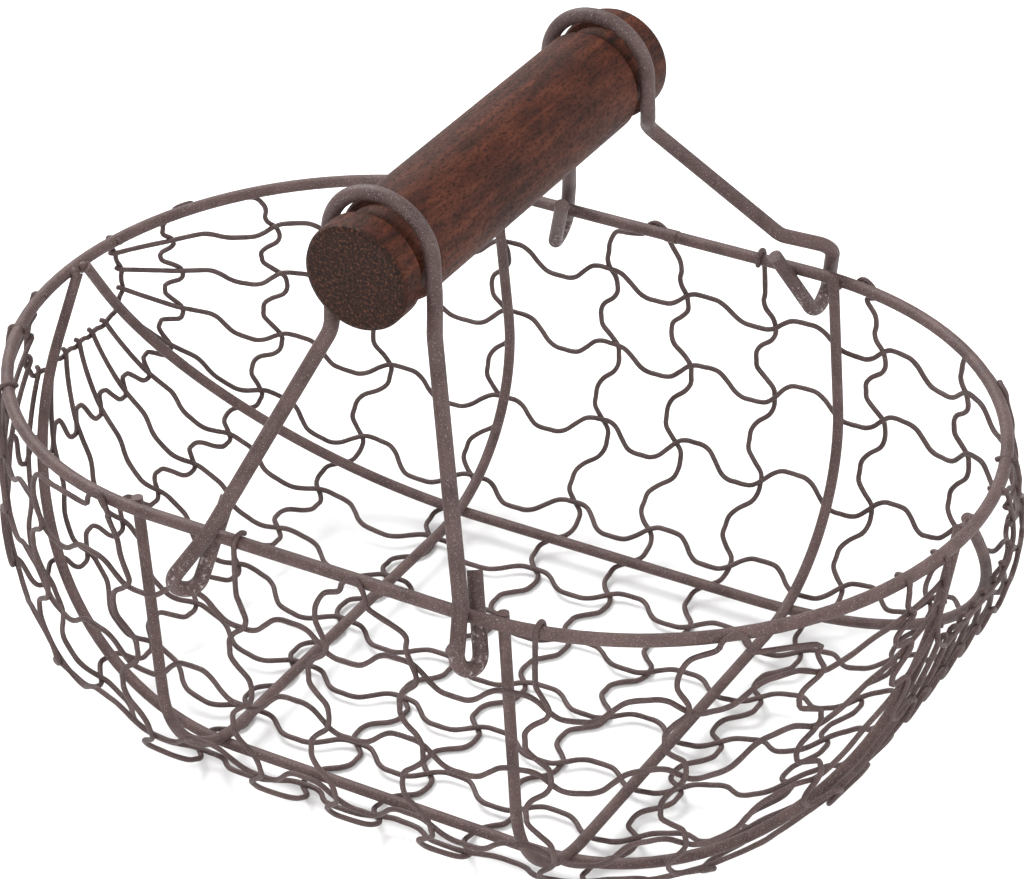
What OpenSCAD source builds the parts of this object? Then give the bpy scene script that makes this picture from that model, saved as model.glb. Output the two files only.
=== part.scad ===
// Egg collection basket: oval wire basket with crimped netting and a wooden grip
// carried by two hooked bail wires. Millimetres. X runs along the basket, Y across it
// (+Y is the back), +Z is up, and the origin is under the middle of the basket.

/* [Rim] */
// Half the width of the rim, to the middle of its wire
rim_radius = 93.2; // [70:0.1:120]
// Half the length of each straight side of the rim
rim_straight = 47; // [20:0.5:90]
// Height of the middle of the rim wire
rim_height = 96.15; // [60:0.05:140]
// Radius of the rim wire
rim_wire = 1.75; // [1:0.05:4]

/* [Ribs] */
// Radius of the rib wires
rib_wire = 1.55; // [1:0.05:3]
// Height of the middle of the cross ribs where they run along the bottom
rib_floor = 6.75; // [5:0.05:20]
// Where the left cross rib meets the rim
rib_left_top = -53.8; // [-80:0.1:-20]
// Where the left cross rib runs along the bottom
rib_left_foot = -49.6; // [-80:0.1:-20]
// Where the right cross rib meets the rim
rib_right_top = 55.8; // [20:0.1:80]
// Where the right cross rib runs along the bottom
rib_right_foot = 58.9; // [20:0.1:80]
// Corner radius of the basket at the back of its bottom
back_corner = 48; // [15:1:60]
// Corner radius of the basket at the front of its bottom
front_corner = 30; // [15:1:60]
// How far the long front rib runs from the middle along the bottom
front_rib_reach = 68.1; // [40:0.1:85]
// How far the long back rib runs from the middle along the bottom
back_rib_reach = 57.6; // [40:0.1:85]
// Radius of the ends of the long ribs
long_rib_end = 91; // [60:0.5:100]
// Half the straight length of the long ribs
long_rib_straight = 47.7; // [20:0.1:90]

/* [Netting] */
// Radius of the netting wires
net_wire = 0.75; // [0.5:0.05:1.5]
// Spacing of the strands that run along the basket
strand_pitch = 23.75; // [15:0.05:40]
// Distance down from the rim to the first strand
strand_first = 21.5; // [10:0.1:30]
// How far the netting wires wave to each side
wave = 3.2; // [0:0.1:5]

/* [Handle] */
// Radius of the bail wires
bail_wire = 2.05; // [1.5:0.05:4]
// Distance from the middle of the rim wire to the middle of a hook's side
hook_side = 4.25; // [3:0.05:8]
// Height of the grip's axis
grip_height = 165.4; // [120:0.05:220]
// Where the grip's axis lies along the basket
grip_x = 2.3; // [-20:0.1:20]
// Radius of the grip
grip_radius = 14.8; // [10:0.1:20]
// Half the length of the grip
grip_half = 67; // [40:0.5:100]
// Distance from the middle of the grip to the middle of each groove
groove_y = 54.3; // [30:0.1:90]
// Radius at the bottom of the grooves
groove_radius = 12.6; // [8:0.1:18]
// Width of the grooves
groove_width = 8.4; // [5:0.1:12]

/* [Hidden] */
$fn = 32;

// The welded wires sink a little into each other where they cross.
weld_sink = 0.35;
inner_radius = rim_radius - rim_wire - rib_wire + weld_sink;
side_lean = 2.1;
depth = rim_height - rib_floor;
corner_turn = 90 + atan(side_lean / depth);
side_length = norm([side_lean, depth]);
back_tangent = back_corner * tan(corner_turn / 2);
front_tangent = front_corner * tan(corner_turn / 2);
floor_half = inner_radius + side_lean;

// Lengths of the five stretches of the basket's cross-section, back rim to front rim.
run_1 = side_length - back_tangent;
run_2 = back_corner * corner_turn * PI / 180;
run_3 = 2 * floor_half - back_tangent - front_tangent;
run_4 = front_corner * corner_turn * PI / 180;
run_5 = side_length - front_tangent;
section_length = run_1 + run_2 + run_3 + run_4 + run_5;

// Netting layers, measured outward from the cross ribs' middle.
long_rib_out = 2 * rib_wire - 0.7;
net_half = net_wire * 0.887;
strand_out = long_rib_out + rib_wire + net_half + 0.06;
hoop_out = strand_out + 2 * net_half + 0.07;
hoop_out_at_rim = rim_wire + rib_wire - weld_sink + rim_wire + net_half + 0.09;

// Middle of each hoop, measured along the basket's outline.
HOOPS = [-155, -123, -91, -56, -20, 4, 31, 66, 99, 133, 160, -176, 177];
hoop_pitch = 32;

// Each bail's loop stands this far from the grip's axis to the side, above and below.
loop_half = 15.2;
loop_rise = 17.7;
loop_drop = 8.6;
bail_lean = atan((rim_radius - groove_y) / (grip_height - rim_height));

steel = [0.42, 0.35, 0.35];
wood = [0.43, 0.22, 0.16];

function unit(v) = v / norm(v);
function smooth(t) = let (u = max(0, min(1, t))) u * u * (3 - 2 * u);

// A straight length of wire from a to b.
module wire_straight(a, b, r) {
    d = unit(b - a);
    side = abs(d.z) < 0.9 ? unit(cross([0, 0, 1], d)) : unit(cross([1, 0, 0], d));
    other = cross(d, side);
    multmatrix([
        [side.x, other.x, d.x, a.x],
        [side.y, other.y, d.y, a.y],
        [side.z, other.z, d.z, a.z],
        [0, 0, 0, 1]
    ])
        cylinder(r = r, h = norm(b - a));
}

// A bend of radius bend in a wire that arrives along d1 at point a and leaves along d2.
module wire_bend(a, d1, d2, bend, r) {
    turn = acos(d1 * d2);
    inward = unit(d2 - d1 * (d1 * d2));
    axis = cross(-inward, d1);
    centre = a + inward * bend;
    multmatrix([
        [-inward.x, d1.x, axis.x, centre.x],
        [-inward.y, d1.y, axis.y, centre.y],
        [-inward.z, d1.z, axis.z, centre.z],
        [0, 0, 0, 1]
    ])
        rotate_extrude(angle = turn)
            translate([bend, 0])
                circle(r = r);
}

function trim(p, q, s, bend) =
    let (d1 = unit(q - p), d2 = unit(s - q))
    bend * tan(acos(d1 * d2) / 2);

// A hair-thin collar that joins two lengths of wire end to end at point a.
module wire_join(a, d, r) {
    wire_straight(a - d * 0.12, a + d * 0.12, r + 0.03);
}

// A bent wire through the corner points pts; bends[i] is the bend radius at pts[i].
module bent_wire(pts, bends, r) {
    last = len(pts) - 1;
    cut = [for (i = [0:last]) i == 0 || i == last ? 0 : trim(pts[i - 1], pts[i], pts[i + 1], bends[i])];
    for (i = [0:last - 1]) {
        d = unit(pts[i + 1] - pts[i]);
        wire_straight(pts[i] + d * cut[i], pts[i + 1] - d * cut[i + 1], r);
    }
    for (i = [1:last - 1]) {
        d1 = unit(pts[i] - pts[i - 1]);
        d2 = unit(pts[i + 1] - pts[i]);
        wire_bend(pts[i] - d1 * cut[i], d1, d2, bends[i], r);
        wire_join(pts[i] - d1 * cut[i], d1, r);
        wire_join(pts[i] + d2 * cut[i], d2, r);
    }
}

// Cross-section of the basket at its middle: distance s from the back rim gives [y, z].
function section(s) =
    let (
        down = [side_lean, -depth] / side_length,
        out_b = [down.y, -down.x] * -1,
        up = [side_lean, depth] / side_length,
        start_2 = [inner_radius, rim_height] + down * run_1,
        centre_b = start_2 - out_b * back_corner,
        s2 = s - run_1,
        s3 = s2 - run_2,
        s4 = s3 - run_3,
        s5 = s4 - run_4,
        start_b = atan2(out_b.y, out_b.x),
        end_f = [-inner_radius, rim_height] + [-up.x, -up.y] * run_5,
        centre_f = [-floor_half + front_tangent, rib_floor + front_corner]
    )
    s2 < 0 ? [inner_radius, rim_height] + down * s :
    s3 < 0 ? centre_b + back_corner * [cos(start_b - s2 / back_corner * 180 / PI),
                                       sin(start_b - s2 / back_corner * 180 / PI)] :
    s4 < 0 ? [floor_half - back_tangent - s3, rib_floor] :
    s5 < 0 ? centre_f + front_corner * [cos(-90 - s4 / front_corner * 180 / PI),
                                        sin(-90 - s4 / front_corner * 180 / PI)] :
    [-floor_half, rib_floor] + [side_lean, depth] / side_length * (front_tangent + s5);

// Distance a along the basket's outline gives x.
function along(a) =
    abs(a) < long_rib_straight ? a :
    sign(a) * (long_rib_straight + (long_rib_end - long_rib_out)
        * sin((abs(a) - long_rib_straight) / (long_rib_end - long_rib_out) * 180 / PI));

// How much the rim outline and the rib outline have closed in at x.
function rim_share(x) =
    let (e = min(max(abs(x) - rim_straight, 0), inner_radius))
    sqrt(inner_radius * inner_radius - e * e) / inner_radius;
function rib_share(x) =
    let (r = long_rib_end - long_rib_out, e = min(max(abs(x) - long_rib_straight, 0), r), w = 108)
    (w - r + sqrt(r * r - e * e)) / w;

// A point of the basket's inner skin.
function skin(s, a) =
    let (
        x = along(a),
        p = section(s),
        down = (rim_height - p.y),
        near = rim_share(x),
        far = rib_share(x),
        share = max(0, min(1, down / depth))
    )
    [x, p.x * (near + (far - near) * share), rim_height - down * far];
function outward(s, a) =
    unit(cross(skin(s, a + 0.5) - skin(s, a - 0.5), skin(s + 0.5, a) - skin(s - 0.5, a)));

// A crimped netting wire: a square-sided tube of the same area as the round wire.
module crimped(path, normals, r) {
    n = len(path);
    k = r * 1.2533;
    rings = [
        for (i = [0:n - 1])
            let (
                t = unit(path[min(i + 1, n - 1)] - path[max(i - 1, 0)]),
                b = unit(cross(t, normals[i])),
                up = cross(b, t)
            )
            for (q = [45:90:315])
                path[i] + k * (cos(q) * b + sin(q) * up)
    ];
    sides = [
        for (i = [0:n - 2])
            for (j = [0:3])
                let (p = 4 * i + j, q = 4 * i + (j + 1) % 4)
                each [[p, q + 4, q], [p, p + 4, q + 4]]
    ];
    ends = [[0, 1, 2], [0, 2, 3], [4 * n - 4, 4 * n - 2, 4 * n - 3], [4 * n - 4, 4 * n - 1, 4 * n - 2]];
    polyhedron(points = rings, faces = concat(sides, ends), convexity = 12);
}

// Hoops run from the back rim under the basket to the front rim.
module hoop(i) {
    a0 = HOOPS[i - 1];
    cells = 13;
    steps = 5 * cells;
    s_list = [for (j = [0:steps]) -1.2 + (section_length + 2.4) * j / steps];
    swing = function (s) smooth((min(s, section_length - s) - 12) / 12);
    calm = wave * smooth((180 - abs(a0)) / 20);
    bend = function (s) a0 + calm * swing(s) * cos((s - strand_first) / strand_pitch * 360 - 35);
    near = function (s) smooth(min(s, section_length - s) / 14);
    out = function (s) hoop_out_at_rim + (hoop_out - hoop_out_at_rim) * near(s);
    normals = [for (s = s_list) outward(s, bend(s))];
    path = [for (j = [0:steps]) skin(s_list[j], bend(s_list[j])) + normals[j] * out(s_list[j])];
    color(steel) crimped(path, normals, net_wire);
}

// Strands run along the basket, outside the ribs and inside the hoops.
module strand(i) {
    s0 = strand_first + strand_pitch * (i - 1);
    steps = 56;
    a_list = [for (j = [0:steps]) -178 + 357 * j / steps];
    swing = function (a) smooth((160 - abs(a)) / 30);
    bend = function (a) s0 - wave * swing(a) * sin((a - 4) / hoop_pitch * 360);
    normals = [for (a = a_list) outward(bend(a), a)];
    path = [for (j = [0:steps]) skin(bend(a_list[j]), a_list[j]) + normals[j] * strand_out];
    color(steel) crimped(path, normals, net_wire);
}

// Oval rim with its butt weld on the back side.
module rim() {
    color(steel) {
        for (m = [1, -1]) {
            translate([-rim_straight, m * rim_radius, rim_height])
                rotate([0, 90, 0])
                    cylinder(r = rim_wire, h = 2 * rim_straight);
            translate([m * rim_straight, 0, rim_height])
                rotate([0, 0, m * -90])
                    rotate_extrude(angle = 180)
                        translate([rim_radius, 0])
                            circle(r = rim_wire);
        }
        translate([1, rim_radius, rim_height])
            rotate([0, 90, 0])
                cylinder(r = rim_wire + 0.2, h = 3.6);
    }
}

module cross_rib(top, foot) {
    half = inner_radius * rim_share(top);
    bottom = floor_half * rim_share(top);
    color(steel)
        bent_wire(
            [[top, half, rim_height + 1.4], [foot, bottom, rib_floor],
             [foot, -bottom, rib_floor], [top, -half, rim_height + 1.4]],
            [0, back_corner, front_corner, 0],
            rib_wire
        );
}

// A long rib: a half oval hung between the two ends of the rim.
module long_rib(reach, height, lap) {
    drop = rim_height - height;
    end_x = rim_straight + rim_radius - rim_wire - rib_wire + weld_sink;
    wide = long_rib_straight + long_rib_end + 0.6;
    top = [0, lap, rim_height];
    foot = [0, reach, height];
    color(steel)
        bent_wire(
            [top + [-end_x, 0, 0], foot + [-wide, 0, 0], foot + [wide, 0, 0], top + [end_x, 0, 0]],
            [0, long_rib_end, long_rib_end, 0],
            rib_wire
        );
}

// A point of a bail at x, height up along the bail and distance out from the rim's middle.
function on_bail(x, up, out) = [
    x,
    rim_radius - up * sin(bail_lean) + out * cos(bail_lean),
    rim_height + up * cos(bail_lean) + out * sin(bail_lean)
];

module bail_back() {
    color(steel)
        bent_wire(
            [
                on_bail(-28.5, 9.5, -hook_side),
                on_bail(-39, -16, -hook_side),
                on_bail(-39, -16, hook_side),
                on_bail(-31, 7, hook_side),
                on_bail(-22.5, 30, 1.2),
                on_bail(-15, 64, 0),
                [grip_x - loop_half, groove_y, grip_height - loop_drop],
                [grip_x - loop_half, groove_y, grip_height + loop_rise],
                [grip_x + loop_half, groove_y, grip_height + loop_rise],
                [grip_x + loop_half, groove_y, grip_height - loop_drop],
                on_bail(grip_x + 9.4, 59, 0),
                on_bail(41, 15.5, 0.8),
                on_bail(54.2, 9.2, hook_side + 0.4),
                on_bail(46.5, -16, hook_side),
                on_bail(46.5, -16, -hook_side),
                on_bail(40.6, 12, -hook_side)
            ],
            [0, 4, 4, 12, 12, 6, 5, 15, 15, 5, 6, 6, 5, 4, 4, 0],
            bail_wire
        );
}

module bail_front() {
    color(steel)
        mirror([0, 1, 0])
            bent_wire(
                [
                    on_bail(-28.6, 9.5, -hook_side),
                    on_bail(-31.5, -16, -hook_side),
                    on_bail(-36, -16, hook_side),
                    on_bail(-26.6, 1, hook_side),
                    on_bail(grip_x - 9.4, 59, 0),
                    [grip_x - loop_half, groove_y, grip_height - loop_drop],
                    [grip_x - loop_half, groove_y, grip_height + loop_rise],
                    [grip_x + loop_half, groove_y, grip_height + loop_rise],
                    [grip_x + loop_half, groove_y, grip_height - loop_drop],
                    on_bail(21.8, 64, 0),
                    on_bail(47.2, 3, hook_side),
                    on_bail(49.8, -12.8, hook_side),
                    on_bail(52.6, -12.8, -hook_side),
                    on_bail(44.6, 10.5, -hook_side)
                ],
                [0, 4, 4, 20, 6, 5, 15, 15, 5, 6, 20, 4, 4, 0],
                bail_wire
            );
}

module grip() {
    r = grip_radius;
    h = grip_half;
    g = groove_radius;
    w = groove_width / 2;
    b = 0.7;
    color(wood)
        translate([grip_x, 0, grip_height])
            rotate([90, 0, 0])
                rotate_extrude($fn = 96)
                    polygon([
                        [0, -h], [r - 1.6, -h], [r - 0.5, -h + 0.5], [r, -h + 1.6],
                        [r, -groove_y - w - b], [r - b, -groove_y - w], [g, -groove_y - w + 0.4],
                        [g, -groove_y + w - 0.4], [r - b, -groove_y + w], [r, -groove_y + w + b],
                        [r, groove_y - w - b], [r - b, groove_y - w], [g, groove_y - w + 0.4],
                        [g, groove_y + w - 0.4], [r - b, groove_y + w], [r, groove_y + w + b],
                        [r, h - 1.6], [r - 0.5, h - 0.5], [r - 1.6, h], [0, h]
                    ]);
}

rim();
cross_rib(rib_left_top, rib_left_foot);  // rib_left
cross_rib(rib_right_top, rib_right_foot);  // rib_right
long_rib(-front_rib_reach, 4.95, -2);  // rib_front
long_rib(back_rib_reach, 6.2, 2);  // rib_back
bail_front();
bail_back();
grip();
hoop(1);  // hoop_1
hoop(2);  // hoop_2
hoop(3);  // hoop_3
hoop(4);  // hoop_4
hoop(5);  // hoop_5
hoop(6);  // hoop_6
hoop(7);  // hoop_7
hoop(8);  // hoop_8
hoop(9);  // hoop_9
hoop(10);  // hoop_10
hoop(11);  // hoop_11
hoop(12);  // hoop_12
hoop(13);  // hoop_13
strand(1);  // strand_1
strand(2);  // strand_2
strand(3);  // strand_3
strand(4);  // strand_4
strand(5);  // strand_5
strand(6);  // strand_6
strand(7);  // strand_7
strand(8);  // strand_8
strand(9);  // strand_9
strand(10);  // strand_10
strand(11);  // strand_11
strand(12);  // strand_12
strand(13);  // strand_13
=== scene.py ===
"""Looks of the egg basket: crimped netting, welded wire frame, hooked bails and a stained wood grip."""

import math
import random

import bpy
import numpy as np
from mathutils import Matrix, Vector, noise


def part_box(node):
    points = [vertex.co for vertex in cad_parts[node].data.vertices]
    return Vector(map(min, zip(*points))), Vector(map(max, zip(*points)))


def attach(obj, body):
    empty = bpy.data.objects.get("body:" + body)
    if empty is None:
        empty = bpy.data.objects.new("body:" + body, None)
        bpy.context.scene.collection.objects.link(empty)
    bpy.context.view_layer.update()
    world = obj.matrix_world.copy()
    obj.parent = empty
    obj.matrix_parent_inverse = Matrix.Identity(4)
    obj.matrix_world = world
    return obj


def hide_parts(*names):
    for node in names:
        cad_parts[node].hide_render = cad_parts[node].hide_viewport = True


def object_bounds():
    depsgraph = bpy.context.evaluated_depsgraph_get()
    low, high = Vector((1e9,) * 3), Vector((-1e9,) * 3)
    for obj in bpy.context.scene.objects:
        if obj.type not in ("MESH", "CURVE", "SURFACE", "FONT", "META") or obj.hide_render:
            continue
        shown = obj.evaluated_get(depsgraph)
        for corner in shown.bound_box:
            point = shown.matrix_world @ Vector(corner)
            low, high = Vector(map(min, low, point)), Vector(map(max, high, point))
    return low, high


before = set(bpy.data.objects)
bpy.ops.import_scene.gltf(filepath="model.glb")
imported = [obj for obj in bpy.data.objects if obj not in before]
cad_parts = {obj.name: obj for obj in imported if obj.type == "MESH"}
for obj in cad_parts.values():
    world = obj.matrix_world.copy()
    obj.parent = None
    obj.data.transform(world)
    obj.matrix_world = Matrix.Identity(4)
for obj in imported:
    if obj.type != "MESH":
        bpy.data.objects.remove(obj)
cad_box = [list(map(float, corner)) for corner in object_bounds()]

MM = 0.001
rim_low, rim_high = (np.array(corner, float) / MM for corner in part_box("rim"))
rib_low, rib_high = (np.array(corner, float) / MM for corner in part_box("rib_left"))
grip_low, grip_high = (np.array(corner, float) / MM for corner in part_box("grip"))
RIM_WIRE, RIB_WIRE, NET_WIRE = 1.75, 1.55, 0.75
RIM_Z = (rim_low[2] + rim_high[2]) / 2

# ------------------------------------------------------------------ camera and light
target = Vector((-8.3, 20.2, 65.6)) * MM
azimuth, elevation, roll = math.radians(31.98), math.radians(32.83), math.radians(-2.38)
back = Vector(
    (
        math.sin(azimuth) * math.cos(elevation),
        -math.cos(azimuth) * math.cos(elevation),
        math.sin(elevation),
    )
)
camera_data = bpy.data.cameras.new("camera")
camera = bpy.data.objects.new("camera", camera_data)
bpy.context.scene.collection.objects.link(camera)
camera.location = target + back * 1.0465
turn = back.to_track_quat("Z", "Y").to_matrix().to_4x4()
camera.rotation_euler = (turn @ Matrix.Rotation(roll, 4, "Z")).to_euler()
camera_data.sensor_width = 36
camera_data.lens = 36 * 3774.85 / 1024
camera_data.clip_start = 0.05
bpy.context.scene.camera = camera


def area_light(name, place, size, power, color=(1, 1, 1)):
    data = bpy.data.lights.new(name, "AREA")
    data.shape = "RECTANGLE"
    data.size, data.size_y = size
    data.energy = power
    data.color = color
    lamp = bpy.data.objects.new(name, data)
    bpy.context.scene.collection.objects.link(lamp)
    lamp.location = place
    lamp.rotation_euler = (Vector(place) - Vector((0, 0, 0.09))).to_track_quat("Z", "Y").to_euler()
    return lamp


area_light("key", (-0.75, 0.35, 1.05), (0.8, 0.8), 17)
area_light("front_fill", (0.35, -1.1, 0.75), (1.0, 0.7), 9)
area_light("right_rim", (1.0, 0.5, 0.7), (0.6, 0.6), 6)
world = bpy.data.worlds.new("studio")
world.use_nodes = True
world.node_tree.nodes["Background"].inputs["Color"].default_value = (1, 1, 1, 1)
world.node_tree.nodes["Background"].inputs["Strength"].default_value = 0.75
bpy.context.scene.world = world
bpy.context.scene.view_settings.view_transform = "Standard"


# ------------------------------------------------------------------ materials
def nodes_of(name):
    material = bpy.data.materials.new(name)
    material.use_nodes = True
    tree = material.node_tree
    return material, tree, tree.nodes["Principled BSDF"]


def noise_node(tree, coord, scale, detail=3.0, rough=0.55, stretch=None):
    if stretch is not None:
        mapping = tree.nodes.new("ShaderNodeMapping")
        mapping.inputs["Scale"].default_value = stretch
        tree.links.new(coord, mapping.inputs["Vector"])
        coord = mapping.outputs["Vector"]
    tex = tree.nodes.new("ShaderNodeTexNoise")
    tex.inputs["Scale"].default_value = scale
    tex.inputs["Detail"].default_value = detail
    tex.inputs["Roughness"].default_value = rough
    tree.links.new(coord, tex.inputs["Vector"])
    return tex.outputs["Fac"]


def ramp(tree, fac, stops):
    node = tree.nodes.new("ShaderNodeValToRGB")
    elements = node.color_ramp.elements
    while len(elements) < len(stops):
        elements.new(0.5)
    for element, (place, color) in zip(elements, stops):
        element.position = place
        element.color = (*color, 1)
    tree.links.new(fac, node.inputs["Fac"])
    return node.outputs["Color"]


def grey(value):
    return (value, value, value)


def mix(tree, fac, one, two, mode="MIX"):
    node = tree.nodes.new("ShaderNodeMix")
    node.data_type = "RGBA"
    node.blend_type = mode
    for value, socket in ((fac, node.inputs[0]), (one, node.inputs[6]), (two, node.inputs[7])):
        if isinstance(value, (int, float)):
            socket.default_value = value
        elif isinstance(value, tuple):
            socket.default_value = (*value, 1)
        else:
            tree.links.new(value, socket)
    return node.outputs[2]


def maths(tree, operation, one, two, clamp=False):
    node = tree.nodes.new("ShaderNodeMath")
    node.operation = operation
    node.use_clamp = clamp
    for value, socket in ((one, node.inputs[0]), (two, node.inputs[1])):
        if isinstance(value, (int, float)):
            socket.default_value = value
        else:
            tree.links.new(value, socket)
    return node.outputs[0]


def bump(tree, shader, height, strength, distance, before=None):
    node = tree.nodes.new("ShaderNodeBump")
    node.inputs["Strength"].default_value = strength
    node.inputs["Distance"].default_value = distance
    tree.links.new(height, node.inputs["Height"])
    if before is not None:
        tree.links.new(before, node.inputs["Normal"])
    tree.links.new(node.outputs["Normal"], shader.inputs["Normal"])
    return node.outputs["Normal"]


def powder_coat(name, base, light, speck, wear=None):
    """Matte brown-grey coating with a fine pale speckle; wear is a height in mm below which it is rubbed."""
    material, tree, shader = nodes_of(name)
    coord = tree.nodes.new("ShaderNodeTexCoord").outputs["Object"]
    clouds = noise_node(tree, coord, 120, 4)
    color = ramp(tree, clouds, [(0.3, base), (0.72, light)])
    fine = noise_node(tree, coord, 2300, 2)
    dark = ramp(tree, fine, [(0.33, grey(0.62)), (0.5, grey(1.0))])
    color = mix(tree, 1.0, color, dark, "MULTIPLY")
    specks = ramp(tree, noise_node(tree, coord, 3400, 1), [(0.64, grey(0)), (0.72, grey(1))])
    color = mix(tree, maths(tree, "MULTIPLY", specks, 0.55), color, speck)
    if wear is not None:
        split = tree.nodes.new("ShaderNodeSeparateXYZ")
        tree.links.new(coord, split.inputs[0])
        low = maths(tree, "LESS_THAN", split.outputs["Z"], wear * MM)
        flecks = ramp(tree, noise_node(tree, coord, 700, 5, 0.7), [(0.56, grey(0)), (0.64, grey(1))])
        rubbed = maths(tree, "MULTIPLY", low, flecks)
        color = mix(tree, maths(tree, "MULTIPLY", rubbed, 0.7), color, (0.42, 0.37, 0.36))
    tree.links.new(color, shader.inputs["Base Color"])
    shader.inputs["Metallic"].default_value = 0.0
    shader.inputs["Specular IOR Level"].default_value = 0.38
    rough = ramp(tree, fine, [(0.3, grey(0.5)), (0.7, grey(0.68))])
    tree.links.new(rough, shader.inputs["Roughness"])
    first = bump(tree, shader, fine, 0.35, 0.00018)
    bump(tree, shader, clouds, 0.4, 0.0006, first)
    return material


coat = powder_coat("coat", (0.060, 0.033, 0.030), (0.112, 0.068, 0.063), (0.40, 0.35, 0.35))
bail_coat = powder_coat("bail_coat", (0.056, 0.031, 0.028), (0.102, 0.062, 0.058), (0.42, 0.37, 0.37), RIM_Z - 3)
net_coat = powder_coat("net_coat", (0.048, 0.026, 0.024), (0.092, 0.056, 0.052), (0.30, 0.26, 0.26))


def stained_wood():
    """Red-brown stained wood: short dark pores along the grip, darker blotches, dark end grain."""
    material, tree, shader = nodes_of("stained_wood")
    coord = tree.nodes.new("ShaderNodeTexCoord").outputs["Object"]
    grain = noise_node(tree, coord, 420, 6, 0.65, (1, 0.16, 1))
    fine = noise_node(tree, coord, 1500, 3, 0.6, (1, 0.45, 1))
    blots = noise_node(tree, coord, 46, 4, 0.6, (1, 0.7, 1))
    color = ramp(
        tree,
        grain,
        [(0.28, (0.018, 0.005, 0.003)), (0.5, (0.060, 0.015, 0.007)), (0.72, (0.112, 0.032, 0.015))],
    )
    pores = ramp(tree, fine, [(0.36, grey(0.30)), (0.5, grey(1.0))])
    color = mix(tree, 0.85, color, pores, "MULTIPLY")
    stain = ramp(tree, blots, [(0.3, (0.42, 0.36, 0.34)), (0.55, grey(1.0))])
    color = mix(tree, 0.8, color, stain, "MULTIPLY")
    split = tree.nodes.new("ShaderNodeSeparateXYZ")
    tree.links.new(coord, split.inputs[0])
    along = maths(tree, "ABSOLUTE", split.outputs["Y"], 0)
    end = maths(tree, "MULTIPLY", maths(tree, "SUBTRACT", along, (grip_high[1] - 1.4) * MM), 1400, True)
    speck = noise_node(tree, coord, 1300, 3, 0.7)
    end_color = ramp(
        tree,
        speck,
        [(0.36, (0.006, 0.003, 0.002)), (0.56, (0.030, 0.010, 0.006)), (0.70, (0.13, 0.050, 0.028))],
    )
    color = mix(tree, end, color, end_color)
    tree.links.new(color, shader.inputs["Base Color"])
    tree.links.new(ramp(tree, fine, [(0.3, grey(0.7)), (0.7, grey(0.5))]), shader.inputs["Roughness"])
    shader.inputs["Specular IOR Level"].default_value = 0.16
    first = bump(tree, shader, fine, 0.45, 0.00025)
    bump(tree, shader, grain, 0.4, 0.0005, first)
    return material


wood = stained_wood()

# ------------------------------------------------------------------ the basket's outline
RIM_R = -rim_low[1] - RIM_WIRE
RIM_HALF = rim_high[0] - RIM_WIRE - RIM_R
SKIN_R = RIM_R - RIM_WIRE - RIB_WIRE + 0.35
FLOOR_Z = rib_low[2] + RIB_WIRE
DEPTH = RIM_Z - FLOOR_Z
LEAN = 2.1
FLOOR_HALF = SKIN_R + LEAN
BACK_R, FRONT_R = 48.0, 30.0
END_R, END_HALF = 91.0 - 2.4, 47.7
TURN = math.pi / 2 + math.atan(LEAN / DEPTH)
SIDE = math.hypot(LEAN, DEPTH)
RUN = [
    SIDE - BACK_R * math.tan(TURN / 2),
    BACK_R * TURN,
    2 * FLOOR_HALF - (BACK_R + FRONT_R) * math.tan(TURN / 2),
    FRONT_R * TURN,
    SIDE - FRONT_R * math.tan(TURN / 2),
]
LENGTH = sum(RUN)
DOWN = np.array([LEAN, -DEPTH]) / SIDE
UP = np.array([LEAN, DEPTH]) / SIDE
OUT_BACK = np.array([DEPTH, LEAN]) / SIDE
STRAND_OUT = 2.4 + RIB_WIRE + NET_WIRE + 0.02
HOOP_OUT = STRAND_OUT + 1.2
RIM_OUT = RIM_R - SKIN_R


def section(s):
    """Middle cross-section: distance s from the back rim gives y and z."""
    top = np.array([SKIN_R, RIM_Z])
    if s < RUN[0]:
        return top + DOWN * s
    s -= RUN[0]
    if s < RUN[1]:
        centre = top + DOWN * RUN[0] - OUT_BACK * BACK_R
        angle = math.atan2(OUT_BACK[1], OUT_BACK[0]) - s / BACK_R
        return centre + BACK_R * np.array([math.cos(angle), math.sin(angle)])
    s -= RUN[1]
    if s < RUN[2]:
        return np.array([FLOOR_HALF - BACK_R * math.tan(TURN / 2) - s, FLOOR_Z])
    s -= RUN[2]
    if s < RUN[3]:
        centre = np.array([-FLOOR_HALF + FRONT_R * math.tan(TURN / 2), FLOOR_Z + FRONT_R])
        angle = -math.pi / 2 - s / FRONT_R
        return centre + FRONT_R * np.array([math.cos(angle), math.sin(angle)])
    s -= RUN[3]
    return np.array([-FLOOR_HALF, FLOOR_Z]) + UP * (FRONT_R * math.tan(TURN / 2) + s)


def along(a):
    if abs(a) < END_HALF:
        return a
    return math.copysign(END_HALF + END_R * math.sin((abs(a) - END_HALF) / END_R), a)


def skin(s, a):
    x = along(a)
    y, z = section(s)
    e = min(max(abs(x) - RIM_HALF, 0), SKIN_R)
    near = math.sqrt(SKIN_R**2 - e**2) / SKIN_R
    e = min(max(abs(x) - END_HALF, 0), END_R)
    far = (108 - END_R + math.sqrt(END_R**2 - e**2)) / 108
    share = max(0, min(1, (RIM_Z - z) / DEPTH))
    return np.array([x, y * (near + (far - near) * share), RIM_Z - (RIM_Z - z) * far])


def outward(s, a):
    n = np.cross(skin(s, a + 0.5) - skin(s, a - 0.5), skin(s + 0.5, a) - skin(s - 0.5, a))
    return n / np.linalg.norm(n)


def on_net(points):
    """Points given as distance from the back rim, distance along the basket and distance out."""
    return [skin(s, a) + outward(s, a) * out for s, a, out in points]


def smooth(t):
    t = max(0.0, min(1.0, t))
    return t * t * (3 - 2 * t)


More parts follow.
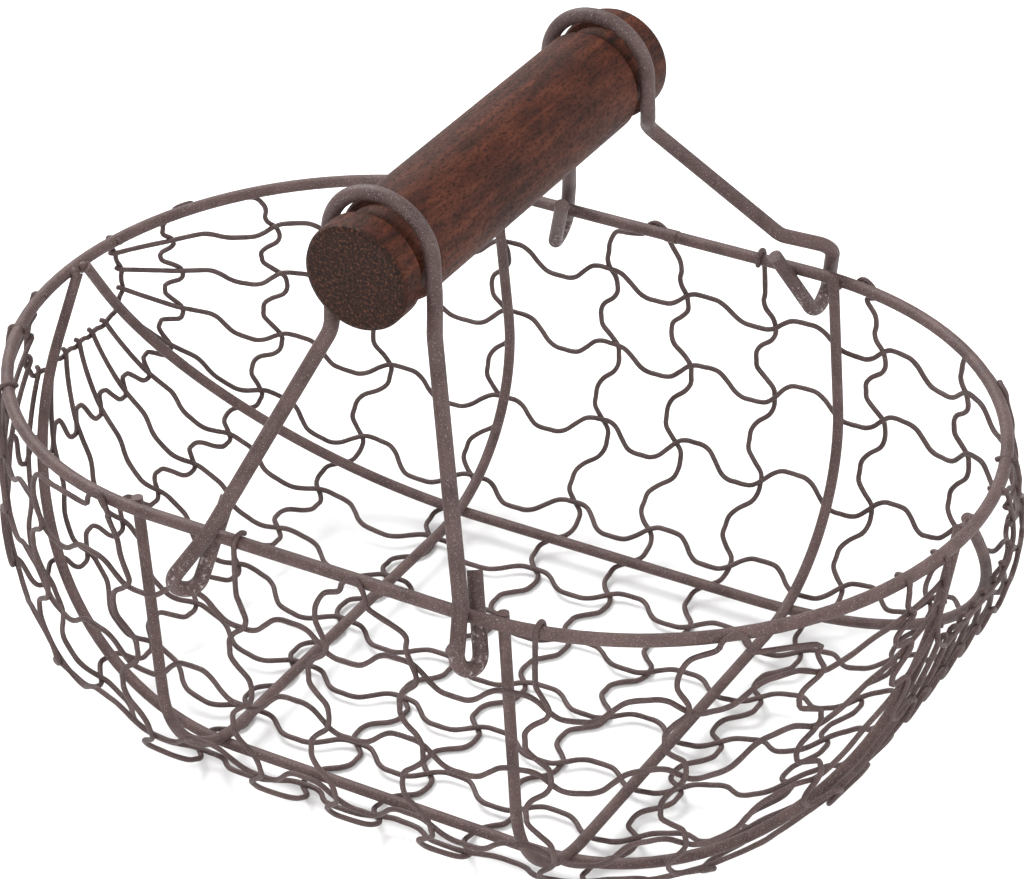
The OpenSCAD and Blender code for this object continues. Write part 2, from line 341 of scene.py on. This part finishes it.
def crimp(phase):
    """A wave with flattened crests, like wire bent over pegs."""
    return 1.13 * (math.sin(phase) + 0.13 * math.sin(3 * phase))


def drift(seed, length):
    """A slow random wobble with no sudden changes."""
    rng = random.Random(seed)
    parts = [(rng.uniform(0.6, 1.5), rng.uniform(0, 6.28)) for _ in range(3)]
    return lambda t: sum(math.sin(t / length * 6.28 * k + p) for k, p in parts) / 3


def spline(points, step):
    """Even points along a smooth curve through the given points."""
    p = np.array(points, float)
    p = np.vstack([2 * p[0] - p[1], p, 2 * p[-1] - p[-2]])
    out = []
    for i in range(1, len(p) - 2):
        n = max(1, int(round(np.linalg.norm(p[i + 1] - p[i]) / step)))
        for k in range(n):
            t = k / n
            out.append(
                0.5
                * (
                    2 * p[i]
                    + (p[i + 1] - p[i - 1]) * t
                    + (2 * p[i - 1] - 5 * p[i] + 4 * p[i + 1] - p[i + 2]) * t * t
                    + (3 * p[i] - p[i - 1] - 3 * p[i + 1] + p[i + 2]) * t**3
                )
            )
    out.append(p[-2])
    return np.array(out)


# ------------------------------------------------------------------ mesh helpers
def add_piece(name, vertices, faces, material, body="basket", shade=True):
    mesh = bpy.data.meshes.new(name)
    mesh.from_pydata([tuple(v) for v in vertices], [], faces)
    mesh.validate()
    mesh.materials.append(material)
    for polygon in mesh.polygons:
        polygon.use_smooth = shade
    piece = bpy.data.objects.new(name, mesh)
    bpy.context.scene.collection.objects.link(piece)
    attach(piece, body)
    return piece


def sweep(path, radius, sides=10, rough=0.0, closed=False, round_ends=True, seed=0):
    """Vertices and faces of a wire along path, in millimetres, with its frame carried along."""
    path = np.array(path, float)
    n = len(path)
    if closed:
        tangents = np.roll(path, -1, 0) - np.roll(path, 1, 0)
    else:
        tangents = np.gradient(path, axis=0)
    tangents /= np.linalg.norm(tangents, axis=1)[:, None]
    side = np.cross(tangents[0], [0.1, 0.2, 1.0])
    side /= np.linalg.norm(side)
    vertices = []
    angles = np.linspace(0, 2 * math.pi, sides, endpoint=False)
    for i in range(n):
        side = side - tangents[i] * side.dot(tangents[i])
        side /= np.linalg.norm(side)
        other = np.cross(tangents[i], side)
        for angle in angles:
            r = radius
            if rough:
                spot = path[i] + side * math.cos(angle) * radius + other * math.sin(angle) * radius
                r *= 1 + rough * noise.noise(Vector(spot * 0.35 + seed))
            vertices.append(path[i] + r * (math.cos(angle) * side + math.sin(angle) * other))
    faces = []
    for i in range(n if closed else n - 1):
        j = (i + 1) % n
        for k in range(sides):
            m = (k + 1) % sides
            faces.append((i * sides + k, i * sides + m, j * sides + m, j * sides + k))
    if not closed:
        for end, direction in ((0, -1), (n - 1, 1)):
            ring = [end * sides + k for k in range(sides)]
            bulge = radius * (0.35 if round_ends else 0.04)
            inset = len(vertices)
            for k in ring:
                vertices.append(
                    path[end] + (np.array(vertices[k]) - path[end]) * 0.72 + tangents[end] * direction * bulge
                )
            new = [inset + k for k in range(sides)]
            for k in range(sides):
                m = (k + 1) % sides
                quad = (ring[k], ring[m], new[m], new[k])
                faces.append(quad[::-1] if direction < 0 else quad)
            faces.append(tuple(new[::-1]) if direction < 0 else tuple(new))
    return np.array(vertices) * MM, faces


def wire(name, path, radius, material, slot, nodes, **options):
    vertices, faces = sweep(path, radius, **options)
    piece = add_piece(name, vertices, faces, material)
    if nodes:
        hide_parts(*nodes)
    return piece


# ------------------------------------------------------------------ netting
HOOPS = [-155, -123, -91, -56, -20, 4, 31, 66, 99, 133, 160, -176, 177]
LEFT_END, RIGHT_END = 12, 13
FIRST, PITCH, CELL, WAVE = 21.5, 23.75, 32.0, 3.2
RIM_GRIP = RIM_WIRE + NET_WIRE + 0.06


def wrap(a, back_side, turn_to=200, shift=0.6):
    """A wire end that hooks over the rim from outside to inside."""
    points = []
    for degrees in range(0, turn_to + 1, 20):
        angle = math.radians(degrees)
        s = -RIM_GRIP * math.sin(angle)
        points.append((s, a + shift * degrees / 180, RIM_OUT + RIM_GRIP * math.cos(angle)))
    points = [(5.5, a, 5.75), (2.5, a, RIM_OUT + RIM_GRIP)] + points
    return [(s if back_side else LENGTH - s, a, out) for s, a, out in points]


def arch(start, centre, finish, back_side, half=3.4):
    """A wire end that runs along under the rim, arches up over its outside and comes down again."""
    way = 1 if finish > start else -1
    grip = RIM_OUT + RIM_GRIP
    points = [(9.5, start + way * 0.5, 5.9), (5.2, start + way * 3.0, 5.6)]
    gap = abs(centre - start) - half - 4
    steps = int(gap / 7)
    for k in range(1, steps + 1):
        points.append((4.0 + 0.5 * math.sin(k * 2.1), start + way * (3 + gap * k / (steps + 1)), grip))
    points += [
        (3.2, centre - way * (half + 0.7), grip),
        (0.2, centre - way * half * 0.8, grip),
        (-1.6, centre, RIM_OUT + 2.0),
        (0.2, centre + way * half * 0.8, grip),
        (3.4, centre + way * (half + 0.5), grip),
    ]
    return [(s if back_side else LENGTH - s, a, out) for s, a, out in points]


def landing(a, centre, back_side, half=3.4):
    """The start of a wire that continues its neighbour's arch."""
    way = 1 if a > centre else -1
    grip = RIM_OUT + RIM_GRIP
    points = [(9.5, a - way * 0.5, 5.9), (5.8, centre + way * (half + 1.6), 5.7), (3.4, centre + way * (half + 0.5), grip)]
    return [(s if back_side else LENGTH - s, a, out) for s, a, out in points]


BACK_ENDS = {
    1: landing(-155, -147, True),
    2: arch(-123, -147, -155, True),
    3: landing(-91, -84, True),
    4: arch(-56, -84, -91, True),
    5: arch(-20, -3.5, 4, True),
    6: landing(4, -3.5, True),
    7: wrap(31, True),
    8: arch(66, 62.6, 58, True, 2.9),
    9: arch(99, 125, 133, True),
    10: landing(133, 125, True),
    11: wrap(160, True, 160),
    12: wrap(-176, True, 180),
    13: wrap(177, True, 140),
}
FRONT_ENDS = {
    1: wrap(-155, False, 220),
    2: wrap(-123, False, 160, -0.8),
    3: arch(-91, -63, -56, False),
    4: landing(-56, -63, False, 3.0),
    5: wrap(-20, False, 150),
    6: arch(4, 15.5, 31, False),
    7: landing(31, 15.5, False),
    8: wrap(66, False, 200),
    9: arch(99, 112, 133, False),
    10: landing(133, 112, False),
    11: wrap(160, False, 220),
    12: wrap(-176, False, 140),
    13: wrap(177, False, 180),
}

def hoop_line(i):
    """Where hoop i is along the basket, at distance s from the back rim."""
    wobble, slide = drift(100 + i, 150.0), drift(300 + i, 190.0)
    lag = math.radians(35 + 16 * wobble(7.0))

    def place(s):
        edge = smooth((min(s, LENGTH - s) - 12) / 12)
        phase = (s - FIRST) / PITCH * 2 * math.pi - lag + 0.3 * wobble(s)
        size = WAVE * (1 + 0.16 * slide(s * 1.7))
        calm = smooth((180 - abs(HOOPS[i - 1])) / 20)
        return HOOPS[i - 1] + edge * calm * (size * crimp(phase + math.pi / 2) + 1.2 * slide(s))

    return place


for i in range(1, len(HOOPS) + 1):
    place = hoop_line(i)
    points = []
    for s in np.arange(13.0, LENGTH - 12.9, 2.6):
        close = smooth(min(s, LENGTH - s) / 14)
        points.append((s, place(s), 5.5 + (HOOP_OUT - 5.5) * close))
    path = spline(on_net(BACK_ENDS[i][::-1] + points + FRONT_ENDS[i]), 0.9)
    wire("netting_hoop_%d" % i, path, NET_WIRE, net_coat, "netting_wire", ["hoop_%d" % i], rough=0.07, seed=i)


def curl(s, a, way, turn_way):
    """A strand's end, turned up round the last hoop."""
    return [
        (s, a + way * 2.1, STRAND_OUT + 0.5),
        (s + turn_way * 0.8, a + way * 2.4, HOOP_OUT),
    ]


for i in range(1, 14):
    s0 = FIRST + PITCH * (i - 1)
    wobble, slide = drift(500 + i, 150.0), drift(700 + i, 180.0)
    low_end, high_end = hoop_line(LEFT_END)(s0), hoop_line(RIGHT_END)(s0)
    calm = smooth((min(s0, LENGTH - s0) - 15) / 20)
    points = []
    for a in np.linspace(low_end - 1.2, high_end + 1.2, 137):
        edge = smooth((160 - abs(a)) / 30)
        phase = (a - 4) / CELL * 2 * math.pi + 0.25 * wobble(a)
        size = WAVE * (1 + 0.16 * slide(a * 1.6))
        points.append((s0 - edge * (size * crimp(phase) + 1.1 * slide(a) * calm), a, STRAND_OUT))
    turn_way = 1 if i % 2 else -1
    start = curl(points[0][0], low_end, -1, turn_way)[::-1]
    finish = curl(points[-1][0], high_end, 1, -turn_way)
    path = spline(on_net(start + points + finish), 0.9)
    wire("netting_strand_%d" % i, path, NET_WIRE, net_coat, "netting_wire", ["strand_%d" % i], rough=0.07, seed=40 + i)

# ------------------------------------------------------------------ welds
def bead(centre, size, seed, rings=9, sides=12):
    """A small uneven lump of weld metal."""
    vertices, faces = [], []
    for i in range(rings + 1):
        polar = math.pi * i / rings
        for k in range(sides):
            turned = 2 * math.pi * k / sides
            d = np.array(
                [math.sin(polar) * math.cos(turned), math.sin(polar) * math.sin(turned), math.cos(polar)]
            )
            lump = 1 + 0.22 * noise.noise(Vector(d * 1.7 + seed)) + 0.1 * noise.noise(Vector(d * 4.1 + seed))
            vertices.append((np.array(centre) + d * np.array(size) * lump) * MM)
    for i in range(rings):
        for k in range(sides):
            m = (k + 1) % sides
            faces.append((i * sides + k, (i + 1) * sides + k, (i + 1) * sides + m, i * sides + m))
    return vertices, faces


welds = []
for node in ("rib_left", "rib_right"):
    low, high = (np.array(corner, float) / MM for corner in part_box(node))
    top_x = low[0] + RIB_WIRE
    for way in (-1, 1):
        y = (SKIN_R + 1.4) * way
        welds.append(((top_x, y, RIM_Z - 0.6), (1.9, 1.7, 1.9)))
for way in (-1, 1):
    for lap in (-2, 2):
        welds.append(((way * (RIM_HALF + SKIN_R + 1.4), lap, RIM_Z - 0.5), (1.7, 1.8, 1.8)))
vertices, faces = [], []
for i, (centre, size) in enumerate(welds):
    more, sheets = bead(centre, size, 3.1 * i)
    base = len(vertices)
    vertices += more
    faces += [tuple(base + k for k in face) for face in sheets]
add_piece("weld_beads", vertices, faces, coat)

# ------------------------------------------------------------------ CAD nodes that keep their shape
for name in ("rim", "rib_left", "rib_right", "rib_front", "rib_back", "bail_front", "bail_back", "grip"):
    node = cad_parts[name]
    finish = wood if name == "grip" else bail_coat if name.startswith("bail") else coat
    node.data.materials.clear()
    node.data.materials.append(finish)

# ------------------------------------------------------------------ floor
floor_mesh = bpy.data.meshes.new("floor")
floor_mesh.from_pydata([(-3, -3, 0), (3, -3, 0), (3, 3, 0), (-3, 3, 0)], [], [(0, 1, 2, 3)])
floor = bpy.data.objects.new("floor", floor_mesh)
bpy.context.scene.collection.objects.link(floor)
floor.location.z = cad_box[0][2] - 0.0002
floor_finish, floor_tree, floor_shader = nodes_of("floor_finish")
floor_shader.inputs["Base Color"].default_value = (0.9, 0.9, 0.9, 1)
floor_shader.inputs["Roughness"].default_value = 0.8
floor_mesh.materials.append(floor_finish)
